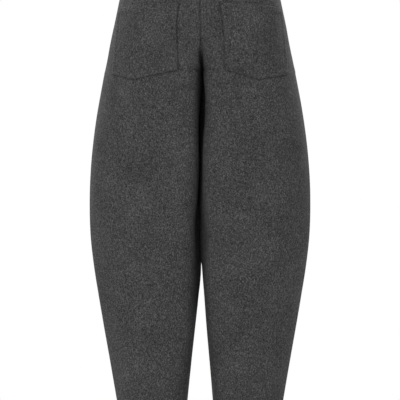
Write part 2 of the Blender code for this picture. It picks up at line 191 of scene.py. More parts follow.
# Patch pockets
POCKET_COLUMNS = (
    "side", "in_top", "in_bottom", "tip", "out_top", "out_bottom",
    "mouth_in", "mouth_out", "bottom_in", "tip_drop", "bottom_out", "bow",
)
POCKETS = (
    ("left", 39.5, 43.5, 125.0, 159.5, 172.0, 132, 137, 263, 281, 268, 4.4),
    ("right", 37.0, 49.5, 114.0, 159.5, 173.0, 132, 137, 263, 281, 267, 3.6),
)
POCKET_STEPS = (0.0, 0.3, 0.7, 1.2, 2.0, 3.4, 5.0, 6.0, 7.0, 9.0)
POCKET_MIDDLE_STEP = 4.0
POCKET_OFF = 0.3
POCKET_TUCK = 0.1
POCKET_EDGE = 3.4
POCKET_WALL = 1.6
POCKET_EDGE_END = 8.0
POCKET_EDGE_SLOPE = 4.0
POCKET_TURN = 1.6
POCKET_LIFT = 0.8
POCKET_MOUTH_LIFT = 0.25
POCKET_TROUGH = 1.3
POCKET_INNER_TROUGH = 1.9
POCKET_TROUGH_WIDTH = 2.0

# The inner edges bow by x(1 - x)(1 - x) down their length, scaled to 1 at its greatest
BOW_SCALE = 27 / 4
BOW_STEPS = (0.0, 0.1, 0.2, 0.33, 0.5, 0.7, 0.85, 1.0)

# Pocket stitching: its place, how much it sinks into the cloth, and its points along each edge
POCKET_STITCH_IN = 4.5
POCKET_STITCH_DEPTH = 0.45
POCKET_STITCH_WIDTH = 0.9
POCKET_STITCH_SINK = 0.1
POCKET_STITCH_STEPS = 60

# Fly shield
FLY_RIGHT = -18.0
FLY_LEFT = 24.0
FLY_TOP = 21.0
FLY_BOTTOM = 182.0
FLY_CORNER = 40.0
FLY_TIP_SHARE = 0.35
FLY_ROWS = 60
FLY_COLUMNS = 18

# Fly facing, which lifts the left front, and its line of stitching
FLY_LIFT = 0.7
FLY_WIDTH = 34.0
FLY_FADE = 12.0
FLY_EDGE = 4.0
FLY_STITCH_IN = 3.0
FLY_STITCH_TOP = 1.5
FLY_STITCH_TIP = 2.0
FLY_STITCH_OUT = 0.05
FLY_STITCH_BOTTOM = 186.0
FLY_CURVE_TOP = 140.0
FLY_STRAIGHT_STEPS = 40
FLY_CURVE_STEPS = 30

# Sewing thread, and a stitch's shape as places along it and shares of its radius
STITCH_LENGTH = 2.9
STITCH_GAP = 0.9
STITCH_RADIUS = 0.22
STITCH_SIDES = 6
STITCH_SHAPE = ((0.0, 0.35), (0.12, 0.85), (0.5, 1.0), (0.88, 0.85), (1.0, 0.35))

# Button, with three threads between each pair of holes
BUTTON_PLACE = 15.0
BUTTON_SEAT = 0.3
BUTTON_NEAR = 2.0
BUTTON_HOLE_PLACE = 1.9
BUTTON_THICK = 3.2
THREAD_RADIUS = 0.35
THREAD_SIDES = 8
THREAD_STEPS = 9
THREAD_LANES = (-0.315, 0.0, 0.315)
THREAD_LOW = 0.9
THREAD_RISE = 0.55
THREAD_DIP = 0.8

# Buttonhole, a worked ring with straight sides and round ends
BUTTONHOLE_HALF = 12.0
BUTTONHOLE_ROUND = 1.5
BUTTONHOLE_SHORTER = 2.0
BUTTONHOLE_OUT = 0.35
BUTTONHOLE_RADIUS = 0.55
BUTTONHOLE_STEPS = 48

# A direction that no thread runs along, which the rings round it are turned by
TUBE_REFERENCE = (0.31, 0.9, 0.29)

# Wool mix: its tones, the share of each noise, and the share of the tone at each place of the mix
PANEL_TONE = 0.0362
BAND_TONE = 0.0357
POCKET_TONE = 0.0364
WOOL_SHARES = {"speckle": 0.62, "streaks": 0.18, "fibres": 0.20, "clouds": 0.10}
WOOL_STOPS = ((0.32, 0.22), (0.43, 0.62), (0.50, 1.0), (0.57, 1.62), (0.68, 2.7))
WOOL_BLUE = 1.005

# Camera: the photo shows 0.8 m across, from straight behind and just above the knees
CAMERA_DISTANCE = 3.6
CAMERA_DROP = 514.0
VIEW_WIDTH = 0.8
SENSOR = 36.0

# Lamps, in metres and watts: place, the point that it faces, size and power
LAMPS = {
    "key": ((1.5, 3.4, 0.9), (0.0, 0.0, -CAMERA_DROP * MM), 1.6, 66.0),
    "rim_left": ((1.15, -1.5, 1.35), (0.1, 0.0, -0.05), 0.7, 52.0),
    "rim_right": ((-1.15, -1.5, 1.35), (-0.1, 0.0, -0.05), 0.7, 60.0),
}

FLOOR_DROP = 1050.0
FLOOR_RADIUS = 1.0


def ease(value):
    """Goes smoothly from 0 to 1 as the value does."""
    value = np.clip(value, 0.0, 1.0)
    return value * value * (3.0 - 2.0 * value)


@functools.lru_cache(maxsize=None)
def section(drop):
    """Reads the section table at a drop, as smooth curves through its rows."""
    drops = np.array([row[0] for row in SECTIONS], dtype=float)
    place = int(np.clip(np.searchsorted(drops, drop) - 1, 0, len(drops) - 2))
    span = drops[place + 1] - drops[place]
    t = (drop - drops[place]) / span
    found = {}
    for column, name in enumerate(SECTION_COLUMNS):
        values = np.array([row[column] for row in SECTIONS], dtype=float)
        slopes = np.gradient(values, drops) * span
        start, end = values[place], values[place + 1]
        found[name] = (
            (2 * t**3 - 3 * t**2 + 1) * start
            + (t**3 - 2 * t**2 + t) * slopes[place]
            + (3 * t**2 - 2 * t**3) * end
            + (t**3 - t**2) * slopes[place + 1]
        )
    return found


def seam_height(drop, face):
    """Is 1 above the crotch arc of a face, and falls along the arc to 0 at the fork."""
    above = min(max((FORK - drop) / ARC[face], 0.0), 1.0)
    return math.sqrt(1.0 - (1.0 - above) ** 2)


@functools.lru_cache(maxsize=None)
def half_curve(drop, face):
    """Gives the left half of a face's section, from the centre seam or inseam to the side seam."""
    row = section(drop)
    way = 1.0 if face == "back" else -1.0
    fold_top, fold_deep = FOLD_TOP[face], FOLD_DEEP[face]
    bulge = np.array([row[face + "_x"], row[face + "_y"]])
    side = np.array([row["side_x"], row["side_y"]])

    valley = VALLEY[face] * ease((drop - BAND_BOTTOM) / (fold_top - BAND_BOTTOM))
    hip_seam_y = bulge[1] - way * valley
    seam_y = FORK_Y + (hip_seam_y - FORK_Y) * seam_height(drop, face)
    seam_x = HALF_SEAM + (row["gap"] - HALF_SEAM) * ease((drop - FORK) / SEAM_X_EASE)
    run = max(row["contact"] - abs(seam_y - FORK_Y), 0.0)
    start = np.array([seam_x, seam_y + way * run])

    quarter = np.linspace(0.0, math.pi / 2, CURVE_STEPS)
    cleft_y = np.sin(quarter) ** (2.0 / row["roll_power"])
    turned_x = 1.0 - np.cos(quarter) ** (2.0 / row["roll_power"])
    apart_x = row["opening"] / bulge[0] * (1.0 - (1.0 - cleft_y) ** OPENING_POWER)
    cleft_x = apart_x + (1.0 - row["opening"] / bulge[0]) * turned_x
    flat_x = quarter / (math.pi / 2)
    flat_y = np.sin(quarter) ** 2
    fold = ease((drop - fold_top) / (fold_deep - fold_top))
    roll_x = (1.0 - fold) * flat_x + fold * cleft_x
    roll_y = (1.0 - fold) * flat_y + fold * cleft_y
    roll = start + np.column_stack([roll_x, roll_y]) * (bulge - start)

    out_x = np.sin(quarter) ** (2.0 / SIDE_WIDTH_POWER)
    out_y = np.cos(quarter) ** (2.0 / row["side_power"])
    outer = np.column_stack([
        bulge[0] + (side[0] - bulge[0]) * out_x,
        side[1] + (bulge[1] - side[1]) * out_y,
    ])
    run_points = np.array([[seam_x, seam_y]]) if run > 2 * HALF_SEAM else np.empty((0, 2))
    return np.vstack([run_points, roll[:-1], outer])


def outward(curve, face):
    """Gives the unit directions out of the body along a half curve."""
    way = 1.0 if face == "back" else -1.0
    along = np.gradient(curve, axis=0)
    along /= np.linalg.norm(along, axis=1)[:, None]
    return way * np.column_stack([-along[:, 1], along[:, 0]])


def lengths(curve):
    """Gives the distance along a curve at each of its points."""
    steps = np.linalg.norm(np.diff(curve, axis=0), axis=1)
    return np.concatenate([[0.0], np.cumsum(steps)])


def read_at(places, wanted, values):
    """Reads the columns of an array at the wanted places along it."""
    return np.column_stack([np.interp(wanted, places, column) for column in values.T])


@functools.lru_cache(maxsize=None)
def measured_curve(drop, face):
    """Gives a half curve with the distances along it and its outward directions."""
    curve = half_curve(drop, face)
    return curve, lengths(curve), outward(curve, face)


def warp(points, drop):
    """Moves the line where the legs meet off the centre, and waves it, the same for both legs."""
    row = section(drop)
    wave = WAVE_HEIGHT * ease((drop - WAVE_TOP[0]) / (WAVE_TOP[1] - WAVE_TOP[0]))
    wave *= 1.0 - ease((drop - WAVE_BOTTOM[0]) / (WAVE_BOTTOM[1] - WAVE_BOTTOM[0]))
    near_middle = np.clip(1.0 - np.abs(points[:, 0]) / MIDDLE_REACH, 0.0, 1.0) ** 2
    near_wave = np.clip(1.0 - np.abs(points[:, 0]) / WAVE_REACH, 0.0, 1.0) ** 2
    depth = np.clip((points[:, 1] - FORK_Y) / (row["back_y"] - FORK_Y), 0.0, 1.0)
    lips = row["lips_x"] * (1.0 - (1.0 - depth) ** OPENING_POWER)
    moved = points.copy()
    moved[:, 0] += (row["middle_x"] + lips) * near_middle
    moved[:, 0] += wave * np.sin(2 * math.pi * (points[:, 1] - FORK_Y) / WAVE_LENGTH) * near_wave
    return moved


def lift(points, drop):
    """Turns flat points at a drop into points in space, in metres."""
    return np.column_stack([points, np.full(len(points), -drop)]) * MM


def fold_relief(face, side_name, x, drop):
    """Adds up the soft folds of one panel."""
    height = np.zeros_like(x)
    for row in FOLDS:
        fold = dict(zip(FOLD_COLUMNS, row))
        if fold["face"] != face or fold["side"] != side_name:
            continue
        start = np.array([fold["x_1"], fold["drop_1"]], dtype=float)
        along = np.array([fold["x_2"], fold["drop_2"]]) - start
        reach = np.linalg.norm(along)
        along /= reach
        away_x, away_drop = x - start[0], drop - start[1]
        far = (away_x * along[0] + away_drop * along[1]) / reach
        off = away_x * along[1] - away_drop * along[0]
        taper = np.exp(-(((far - 0.5) / FOLD_REACH) ** 4))
        height += fold["height"] * taper * np.exp(-((off / fold["width"]) ** 2))
    return height


def seam_groove(away, drop, shift):
    """Gives how deep a seam draws the cloth in, a little unevenly, at distances from it."""
    length, share = SEAM_PUCKER
    slow_length, slow_share = SEAM_SLOW_PUCKER
    pucker = 1.0 + share * math.sin(drop / length + shift)
    pucker += slow_share * math.sin(drop / slow_length)
    return SEAM_DEPTH * pucker * np.exp(-((away / SEAM_WIDTH) ** 2))


def pocket_inner_x(row, down):
    """Gives how far a pocket's inner edge lies from the centre: a line that bows out near its top."""
    bow = row["bow"] * BOW_SCALE * down * (1.0 - down) ** 2
    return row["in_top"] + (row["in_bottom"] - row["in_top"]) * down + bow


def line_distance(corners, x, drop):
    """Gives how far points of the back are from a line through corners, seen from behind."""
    nearest = np.full_like(x, np.inf)
    for (x_1, drop_1), (x_2, drop_2) in zip(corners, corners[1:]):
        span = np.array([x_2 - x_1, drop_2 - drop_1], dtype=float)
        along = ((x - x_1) * span[0] + (drop - drop_1) * span[1]) / (span @ span)
        along = np.clip(along, 0.0, 1.0)
        away = np.hypot(x - x_1 - along * span[0], drop - drop_1 - along * span[1])
        nearest = np.minimum(nearest, away)
    return nearest


def pocket_trough(row, x, drop):
    """Gives how far the cloth sinks along the sewn edges of a pocket."""
    height = row["bottom_in"] - row["mouth_in"]
    inner = [(pocket_inner_x(row, down), row["mouth_in"] + height * down) for down in BOW_STEPS]
    rest = (
        inner[-1], (row["tip"], row["tip_drop"]), (row["out_bottom"], row["bottom_out"]),
        (row["out_top"], row["mouth_out"]),
    )
    depth = np.zeros_like(x)
    for corners, trough in ((inner, POCKET_INNER_TROUGH), (rest, POCKET_TROUGH)):
        away = line_distance(corners, x, drop)
        depth = np.maximum(depth, trough * np.exp(-((away / POCKET_TROUGH_WIDTH) ** 2)))
    return depth


def relief(face, side_name, places, total, x, drop):
    """Gives how far the cloth stands out from the plain form, for seams, pressing and folds."""
    side_shift = 0.0 if side_name == "left" else RIGHT_SHIFT
    from_side = total - places
    height = fold_relief(face, side_name, x, drop)
    for away, share in ((places, INSEAM_SHARE if drop > FORK else 0.0), (from_side, 1.0)):
        height -= share * seam_groove(away, drop, side_shift)
        height += TURNING_RISE * ease((TURNING_WIDTH - away) / TURNING_SOFTNESS + 0.5)
    calm = ease(places / SWELL_MARGIN) * ease(from_side / SWELL_MARGIN)
    for along, down, phase, size in SWELLS:
        turn = 2 * math.pi * (places / along + drop / down) + phase + side_shift
        height += size * np.sin(turn) * calm
    height -= HEM_MARK * math.exp(-(((drop - (HEM - HEM_DEPTH)) / HEM_MARK_WIDTH) ** 2))
    height -= BAND_DITCH * math.exp(-(((drop - BAND_BOTTOM) / BAND_DITCH_WIDTH) ** 2))
    if face == "back" and POCKET_ROWS[0] < drop < POCKET_ROWS[1]:
        for values in POCKETS:
            pocket = dict(zip(POCKET_COLUMNS, values))
            if pocket["side"] == side_name:
                height -= pocket_trough(pocket, x, drop)
    if face == "front" and side_name == "left":
        down = 1.0 - ease((drop - FLY_STITCH_BOTTOM) / FLY_FADE + 0.5)
        across = 1.0 - ease((places - FLY_WIDTH) / FLY_EDGE + 0.5)
        height += FLY_LIFT * down * across
    return height


def cloth_points(drop, face, side_name, places, outs):
    """Gives points of a panel's outer face at distances from its inner seam, moved out by outs."""
    side = 1.0 if side_name == "left" else -1.0
    curve, distance, directions = measured_curve(drop, face)
    points = read_at(distance, places, curve)
    normals = read_at(distance, places, directions)
    normals /= np.linalg.norm(normals, axis=1)[:, None]
    height = relief(face, side_name, places, distance[-1], points[:, 0], drop) + outs
    moved = points + normals * height[:, None]
    if drop <= FORK:
        way = 1.0 if face == "back" else -1.0
        crease = ease((drop - CREASE_ROWS[0]) / (CREASE_ROWS[1] - CREASE_ROWS[0]))
        moved[:, 1] -= way * (1.0 + CREASE_SHARE * crease) * seam_groove(places, drop, 0.0)
        moved[:, 0] = np.maximum(moved[:, 0], HALF_SEAM / 2)
    moved *= np.array([side, 1.0])
    return lift(warp(moved, drop), drop)


def place_of_x(drop, x):
    """Gives how far along the back's section, from its inner seam, the cloth reaches an x."""
    curve, distance, _ = measured_curve(drop, "back")
    return float(np.interp(x, curve[:, 0], distance))


def spread(total, middle_count, ends=SEAM_STEPS):
    """Places columns over a width: set steps at both ends, and even ones between."""
    middle = np.linspace(ends[-1], total - ends[-1], middle_count + 2)[1:-1]
    return np.concatenate([ends, middle, total - np.array(ends)[::-1]])


def grid_mesh(name, outer, inner, uvs, finish, rides=True):
    """Makes a closed sheet between two grids of points, with a map of the cloth in metres."""
    rows, columns = outer.shape[:2]
    count = rows * columns
    points = np.concatenate([outer.reshape(-1, 3), inner.reshape(-1, 3)])
    index = np.arange(count).reshape(rows, columns)
    a, b, c, d = index[:-1, :-1], index[1:, :-1], index[1:, 1:], index[:-1, 1:]
    front = np.stack([a, b, c, d], axis=-1).reshape(-1, 4)
    back = np.stack([a, d, c, b], axis=-1).reshape(-1, 4) + count
    edges = []
    for line, flip in ((index[:, 0], 0), (index[:, -1], 1), (index[0], 1), (index[-1], 0)):
        first, second = line[:-1], line[1:]
        strip = np.stack([first, first + count, second + count, second], axis=-1)
        edges.append(strip[:, ::-1] if flip else strip)
    faces = np.concatenate([front, back, *edges])
    mesh = bpy.data.meshes.new(name)
    mesh.from_pydata(points.tolist(), [], faces.tolist())
    layer = mesh.uv_layers.new(name="cloth")
    flat = np.concatenate([uvs.reshape(-1, 2), uvs.reshape(-1, 2)])
    loops = np.empty(len(mesh.loops), dtype=np.int32)
    mesh.loops.foreach_get("vertex_index", loops)
    layer.data.foreach_set("uv", flat[loops].astype(np.float32).ravel())
    solid = bmesh.new()
    solid.from_mesh(mesh)
    bmesh.ops.recalc_face_normals(solid, faces=solid.faces)
    solid.to_mesh(mesh)
    solid.free()
    mesh.shade_smooth()
    mesh.set_sharp_from_angle(angle=math.radians(SHARP_DEGREES))
    mesh.materials.append(finish)
    made = bpy.data.objects.new(name, mesh)
    bpy.context.collection.objects.link(made)
    if rides:
        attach(made, "root")
    return made


def panel_rows(face):
    """Lists a panel's rows as drop, how far in the outer face lies, and the wall behind it."""
    hem_top = HEM - HEM_DEPTH
    stops = (BAND_BOTTOM - BAND_TUCK, *POCKET_ROWS, hem_top - ABOVE_HEM_STEP)
    fine = POCKET_ROW_STEP if face == "back" else ROW_STEP
    drops = []
    for start, end, step in zip(stops, stops[1:], (ROW_STEP, fine, ROW_STEP)):
        drops.extend(np.linspace(start, end, int((end - start) / step) + 1)[:-1])
    rows = [(round(drop, 2), 0.0, WALL) for drop in [*drops, stops[-1]]]
    turned_up = 2 * WALL
    middle = np.linspace(hem_top + HEM_MIDDLE[0], HEM - HEM_MIDDLE[1], HEM_MIDDLE_ROWS)
    rows += [(hem_top + down, 0.0, turned_up) for down in HEM_STEP_ROWS]
    rows += [(drop, 0.0, turned_up) for drop in middle]
    rows += [(HEM - up, inset, turned_up - 2 * inset) for up, inset in HEM_ROUND]
    return rows


def add_strip(target, outer, inner, uvs):
    """Adds a closed strip between two grids of points to a piece's mesh."""
    strip = grid_mesh("strip", outer, inner, uvs, target.data.materials[0], rides=False)
    joined = bmesh.new()
    joined.from_mesh(target.data)
    joined.from_mesh(strip.data)
    joined.to_mesh(target.data)
    joined.free()
    bpy.data.objects.remove(strip, do_unlink=True)


def seam_turnings(target, runs, drops):
    """Presses the two turnings of a seam open inside it, on the faces that it joins."""
    steps = TURNING * np.array(TURNING_STEPS)
    offsets = np.concatenate([-steps[::-1], steps])
    wall = WALL + TURNING_GAP
    outer, inner, uvs = [], [], []
    for drop in drops:
        drop = round(float(drop), 2)
        for grid, depth in ((outer, wall), (inner, wall + TURNING_WALL)):
            halves = []
            for (face, side_name, from_side), away in zip(runs, (steps[::-1], steps)):
                total = measured_curve(drop, face)[1][-1]
                places = total - away if from_side else away
                halves.append(cloth_points(drop, face, side_name, places, -depth))
            grid.append(np.vstack(halves))
        uvs.append(np.column_stack([offsets, np.full(len(offsets), drop)]) * MM)
    add_strip(target, np.array(outer), np.array(inner), np.array(uvs))


def make_turnings(panels):
    """Adds the turnings of the centre seams, inseams and side seams to the panels."""
    top, bottom = BAND_BOTTOM + TURNING_ENDS, HEM - HEM_DEPTH - TURNING_ENDS
    hips = np.linspace(top, FORK - TURNING_ABOVE_FORK, HIP_TURNING_ROWS)
    legs = np.linspace(FORK + TURNING_BELOW_FORK, bottom, LEG_TURNING_ROWS)
    sides = np.linspace(top, bottom, SIDE_TURNING_ROWS)
    for face in ("back", "front"):
        runs = ((face, "right", False), (face, "left", False))
        seam_turnings(panels[face + "_left"], runs, hips)
    for side_name in ("left", "right"):
        inseam = (("front", side_name, False), ("back", side_name, False))
        seam_turnings(panels["back_" + side_name], inseam, legs)
        outseam = (("front", side_name, True), ("back", side_name, True))
        seam_turnings(panels["front_" + side_name], outseam, sides)


def make_panel(face, side_name, finish):
    """Makes one leg panel as a thin sheet, and hides the part that it stands for."""
    rows = panel_rows(face)
    totals = [lengths(half_curve(drop, face))[-1] for drop, _, _ in rows]
    columns = int(max(totals) / COLUMN_STEP[face])
    outer, inner, uvs = [], [], []
    for (drop, inset, wall), total in zip(rows, totals):
        places = spread(total, columns)
        outer.append(cloth_points(drop, face, side_name, places, -inset))
        inner.append(cloth_points(drop, face, side_name, places, -inset - wall))
        uvs.append(np.column_stack([places, np.full(len(places), drop)]) * MM)
    name = "cloth_" + face + "_" + side_name
    panel = grid_mesh(name, np.array(outer), np.array(inner), np.array(uvs), finish)
    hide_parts(face + "_" + side_name)
    return panel


def ring_curve(drop):
    """Gives the whole section, from the centre front round the wearer's left and back again."""
    front, back = half_curve(drop, "front"), half_curve(drop, "back")
    mirror = np.array([-1.0, 1.0])
    whole = np.vstack([front[:-1], back[::-1], (back * mirror)[1:-1], (front * mirror)[::-1]])
    along = np.gradient(whole, axis=0)
    along /= np.linalg.norm(along, axis=1)[:, None]
    return whole, np.column_stack([along[:, 1], -along[:, 0]])


def ring_points(drop, places, outs):
    """Reads the whole section at distances from the centre front, each moved out by its own size."""
    whole, normals = ring_curve(drop)
    distance = lengths(whole)
    around = np.mod(places, distance[-1])
    points = read_at(distance, around, whole)
    directions = read_at(distance, around, normals)
    directions /= np.linalg.norm(directions, axis=1)[:, None]
    return lift(points + directions * outs[:, None], drop)


def make_waistband(finish):
    """Makes the faced band, once round and on under its own end, with soft turned edges."""
    outer, inner, uvs = [], [], []
    round_length = lengths(ring_curve(0.0)[0])[-1]
    for drop in BAND_ROWS:
        whole = lengths(ring_curve(drop)[0])[-1]
        places = np.linspace(-BAND_LAP, whole + BAND_UNDERLAP, BAND_COLUMNS)
        tuck = ease((places - whole + BAND_STEP[0]) / (BAND_STEP[0] - BAND_STEP[1]))
        tuck *= BAND_WALL + LAYER_GAP
        edge = min(drop - BAND_TOP, BAND_BOTTOM - drop)
        end = np.minimum(places + BAND_LAP, whole + BAND_UNDERLAP - places)
        away = np.clip(np.minimum(edge, end) / BAND_EDGE, 0.0, 1.0)
        turn = 1.0 - np.sqrt(1.0 - (1.0 - away) ** 2)
        swell = BAND_ROUND * math.sin(math.pi * (drop - BAND_TOP) / (BAND_BOTTOM - BAND_TOP))
        for along, down, size in BAND_SWELLS:
            swell = swell + size * np.sin(places / along + drop / down)
        half = BAND_WALL / 2
        middle = BAND_PROUD - half - tuck
        thick = half * (1.0 - BAND_THINNING * turn)
        outer.append(ring_points(drop, places, middle + thick + swell * (1.0 - turn)))
        inner.append(ring_points(drop, places, middle - thick))
        uvs.append(np.column_stack([places, np.full(len(places), drop)]) * MM)
    band = grid_mesh("cloth_waistband", np.array(outer), np.array(inner), np.array(uvs), finish)
    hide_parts("waistband")


def pocket_point(row, across, down):
    """Gives the drop and the distance from the centre seam of a place on a pocket."""
    edges = [place_of_x(row["tip_drop"], row[name]) for name in ("in_bottom", "tip", "out_bottom")]
    tip = (edges[1] - edges[0]) / (edges[2] - edges[0])
    in_x = pocket_inner_x(row, down)
    out_x = row["out_top"] + (row["out_bottom"] - row["out_top"]) * down
    mouth = row["mouth_in"] + (row["mouth_out"] - row["mouth_in"]) * across
    bottom_drops = (row["bottom_in"], row["tip_drop"], row["bottom_out"])
    bottom = float(np.interp(across, (0.0, tip, 1.0), bottom_drops))
    drop = round(mouth + (bottom - mouth) * down, 2)
    first, last = place_of_x(drop, in_x), place_of_x(drop, out_x)
    return drop, first + (last - first) * across


def pocket_steps(size):
    """Gives fractions across a pocket that crowd towards its edges."""
    count = int((size - 2 * POCKET_STEPS[-1]) / POCKET_MIDDLE_STEP)
    return spread(size, count, POCKET_STEPS) / size


def cloth_width(row, drop, inner, outer):
    """Gives a pocket's width along the cloth at a drop, between two columns of its row."""
    return place_of_x(drop, row[outer]) - place_of_x(drop, row[inner])


def pocket_size(row):
    """Gives a pocket's width at its mouth and its height at the inner edge."""
    return cloth_width(row, row["mouth_in"], "in_top", "out_top"), row["bottom_in"] - row["mouth_in"]


def pocket_puff(across, down):
    """Gives how far a pocket stands out in its middle."""
    from_mouth = min(down + POCKET_MOUTH_LIFT, 1.0)
    return POCKET_LIFT * math.sin(math.pi * across) * math.sin(math.pi * from_mouth)


def make_pocket(row, finish):
    """Makes a patch pocket, with turned edges, lying on its back panel."""
    side_name = row["side"]
    top_size, height = pocket_size(row)
    across_steps, down_steps = pocket_steps(top_size), pocket_steps(height)
    outer = np.zeros((len(down_steps), len(across_steps), 3))
    inner = np.zeros_like(outer)
    uvs = np.zeros((len(down_steps), len(across_steps), 2))
    for i, down in enumerate(down_steps):
        for j, across in enumerate(across_steps):
            drop, place = pocket_point(row, across, down)
            edge = min(min(across, 1.0 - across) * top_size, min(down, 1.0 - down) * height)
            turn = math.sqrt(1.0 - (1.0 - min(edge / POCKET_TURN, 1.0)) ** 2)
            stitch = math.exp(-(((edge - POCKET_STITCH_IN) / POCKET_STITCH_WIDTH) ** 2))
            thinner = float(ease((edge - POCKET_EDGE_END) / POCKET_EDGE_SLOPE))
            half = (POCKET_EDGE + (POCKET_WALL - POCKET_EDGE) * thinner) / 2
            top = POCKET_OFF + half + half * turn - POCKET_STITCH_DEPTH * stitch
            under = POCKET_OFF + half - half * turn - POCKET_TUCK
            where = np.array([place])
            out = top + pocket_puff(across, down)
            outer[i, j] = cloth_points(drop, "back", side_name, where, out)[0]
            inner[i, j] = cloth_points(drop, "back", side_name, where, under)[0]
            uvs[i, j] = (place * MM, drop * MM)
    name = "cloth_pocket_" + side_name
    pocket = grid_mesh(name, outer, inner, uvs, finish)
    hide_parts("back_pocket_" + side_name)
    width = cloth_width(row, row["tip_drop"], "in_bottom", "out_bottom")


def make_fly_shield(finish):
    """Makes the strip behind the fly, which shows from inside."""
    outer, inner, uvs = [], [], []
    for drop in np.linspace(FLY_TOP, FLY_BOTTOM, FLY_ROWS):
        above = FLY_BOTTOM - drop
        bend = math.sqrt(1.0 - (1.0 - min(above / FLY_CORNER, 1.0)) ** 2)
        left_edge = FLY_LEFT * (FLY_TIP_SHARE + (1.0 - FLY_TIP_SHARE) * bend)
        places = np.linspace(FLY_RIGHT, left_edge, FLY_COLUMNS)
        curve, distance, directions = measured_curve(drop, "front")
        away = np.abs(places)
        sides = np.column_stack([np.where(places >= 0, 1.0, -1.0), np.ones(len(places))])
        for grid, depth in ((outer, WALL + LAYER_GAP), (inner, 2 * WALL + LAYER_GAP)):
            points = read_at(distance, away, curve) - depth * read_at(distance, away, directions)
            grid.append(lift(points * sides, drop))
        uvs.append(np.column_stack([places, np.full(len(places), drop)]) * MM)
    shield = grid_mesh("cloth_fly_shield", np.array(outer), np.array(inner), np.array(uvs), finish)
    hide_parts("fly_shield")


def add_ring(solid, centre, across, other, radius, sides):
    """Adds a ring of points round a centre, in the plane of two directions."""
    ring = []
    for step in range(sides):
        angle = 2 * math.pi * step / sides
        offset = (across * math.cos(angle) + other * math.sin(angle)) * radius
        ring.append(solid.verts.new(centre + offset))
    return ring


def add_skin(solid, rings, closed=False):
    """Joins rings into a tube, whose ends are either filled or joined to each other."""
    pairs = list(zip(rings, rings[1:]))
    if closed:
        pairs.append((rings[-1], rings[0]))
    for lower, upper in pairs:
        for step in range(len(lower)):
            after = (step + 1) % len(lower)
            solid.faces.new((lower[step], lower[after], upper[after], upper[step]))
    if not closed:
        solid.faces.new(rings[0][::-1])
        solid.faces.new(rings[-1])


def capsule(solid, start, end, radius):
    """Adds one short rounded stitch to a mesh."""
    axis = (end - start).normalized()
    across = axis.orthogonal().normalized()
    other = axis.cross(across)
    rings = []
    for along, share in STITCH_SHAPE:
        centre = start + (end - start) * along
        rings.append(add_ring(solid, centre, across, other, radius * share, STITCH_SIDES))
    add_skin(solid, rings)


def smooth_object(name, solid, finish):
    """Turns a mesh in the making into a smooth object with one material."""
    mesh = bpy.data.meshes.new(name)
    solid.to_mesh(mesh)
    solid.free()
    mesh.shade_smooth()
    mesh.materials.append(finish)
    made = bpy.data.objects.new(name, mesh)
    bpy.context.collection.objects.link(made)
    return made


def stitch_line(name, path, finish):
    """Sews a row of stitches along a list of points in metres."""
    path = np.array(path)
    distance = lengths(path)
    solid = bmesh.new()
    pitch = (STITCH_LENGTH + STITCH_GAP) * MM
    for start in np.arange(0.0, distance[-1] - pitch, pitch):
        ends = read_at(distance, np.array([start, start + STITCH_LENGTH * MM]), path)
        capsule(solid, Vector(ends[0]), Vector(ends[1]), STITCH_RADIUS * MM)
    made = smooth_object(name, solid, finish)
    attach(made, "root")


def pocket_stitches(row, finish):
    """Sews a pocket down along its sides and bottom."""
    size, height = pocket_size(row)
    left, right = POCKET_STITCH_IN / size, 1.0 - POCKET_STITCH_IN / size
    bottom = 1.0 - POCKET_STITCH_IN / height

    def point(across, down):
        drop, place = pocket_point(row, across, down)
        out = POCKET_EDGE - POCKET_STITCH_SINK + pocket_puff(across, down)
        return cloth_points(drop, "back", row["side"], np.array([place]), out)[0]

    path = [point(left, down) for down in np.linspace(0.0, bottom, POCKET_STITCH_STEPS)]
    path += [point(across, bottom) for across in np.linspace(left, right, POCKET_STITCH_STEPS)]
    path += [point(right, down) for down in np.linspace(bottom, 0.0, POCKET_STITCH_STEPS)]
    stitch_line("stitches_pocket_" + row["side"], path, finish)


def fly_stitches(finish):
    """Sews the fly's curved line on the left front."""
    line = FLY_WIDTH - FLY_STITCH_IN
    straight = np.linspace(BAND_BOTTOM + FLY_STITCH_TOP, FLY_CURVE_TOP, FLY_STRAIGHT_STEPS)
    places = [(drop, line) for drop in straight]
    for angle in np.linspace(0.0, math.pi / 2, FLY_CURVE_STEPS)[1:]:
        drop = FLY_CURVE_TOP + (FLY_STITCH_BOTTOM - FLY_CURVE_TOP) * math.sin(angle)
        places.append((drop, FLY_STITCH_TIP + (line - FLY_STITCH_TIP) * math.cos(angle)))
    path = []
    for drop, place in places:
        where = np.array([place])
        path.append(cloth_points(round(drop, 2), "front", "left", where, FLY_STITCH_OUT)[0])
    stitch_line("stitches_fly", path, finish)


def band_point(drop, place, out):
    """Gives one point on the band's outer side, moved out of it."""
    return Vector(ring_points(drop, np.array([place]), np.array([BAND_PROUD + out]))[0])


def band_frame():
    """Gives the button's seat on the band and the directions along, up and out."""
    seat = band_point(0.0, BUTTON_PLACE, BUTTON_SEAT)
    ahead = band_point(0.0, BUTTON_PLACE + BUTTON_NEAR, BUTTON_SEAT)
    above = band_point(-BUTTON_NEAR, BUTTON_PLACE, BUTTON_SEAT)
    along = (ahead - seat).normalized()
    outwards = along.cross(above - seat).normalized()
    return seat, along, outwards.cross(along), outwards


def tube(solid, points, radius, closed=False):
    """Adds a tube along a list of points to a mesh."""
    rings = []
    count = len(points)
    for k, point in enumerate(points):
        before = points[k - 1] if k or closed else points[0]
        after = points[(k + 1) % count] if k < count - 1 or closed else points[-1]
        axis = (after - before).normalized()
        across = axis.cross(Vector(TUBE_REFERENCE)).normalized()
        rings.append(add_ring(solid, point, across, axis.cross(across), radius, THREAD_SIDES))
    add_skin(solid, rings, closed)


